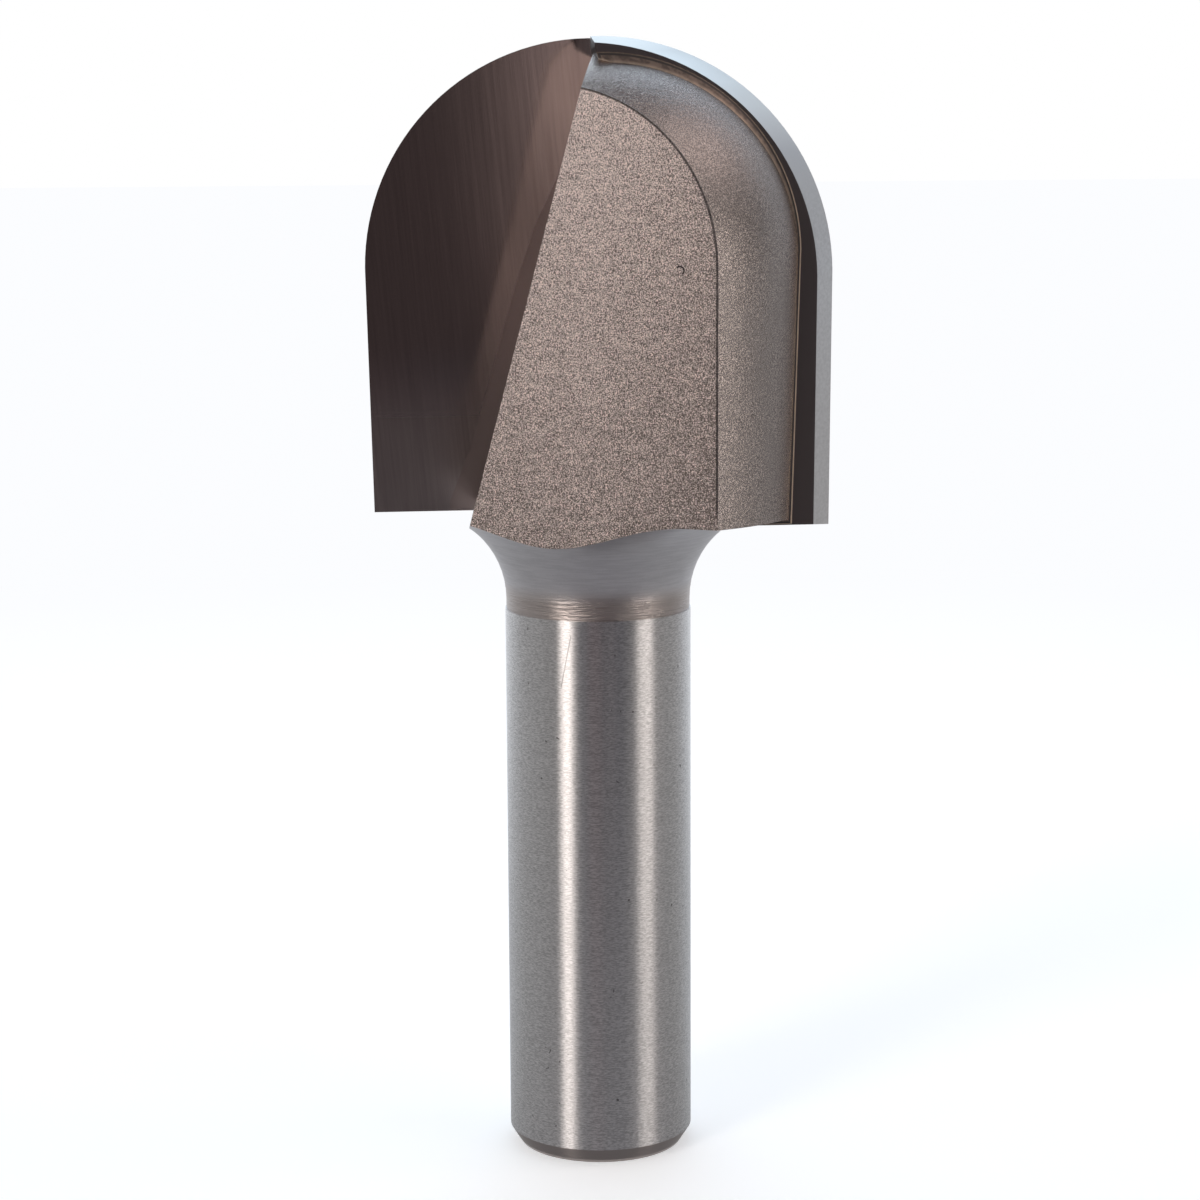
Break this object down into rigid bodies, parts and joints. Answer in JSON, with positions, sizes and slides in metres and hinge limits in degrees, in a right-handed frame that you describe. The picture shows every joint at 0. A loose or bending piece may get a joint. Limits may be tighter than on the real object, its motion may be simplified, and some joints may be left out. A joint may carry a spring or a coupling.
{
  "type": "router bit",
  "caption": "Round-nose router bit with carbide cutting tips, straight chip gullets and a plain round shank.",
  "frame": {"origin": "centre of the shank end, on the axis of rotation", "axes": "+Z along the axis towards the cutting nose; the first tip points along -X and its cutting face looks towards -Y"},
  "size_m": [0.0308, 0.0254, 0.0762],
  "materials": {
    "steel": "ground shank, bead-blasted head",
    "carbide": "fine ground, semi-bright",
    "braze": "as brazed"
  },
  "bodies": {
    "root": {"steel_body": "steel", "carbide_tip_1": "carbide", "carbide_tip_2": "carbide", "braze_joint_1": "braze", "braze_joint_2": "braze"}
  },
  "joints": []
}
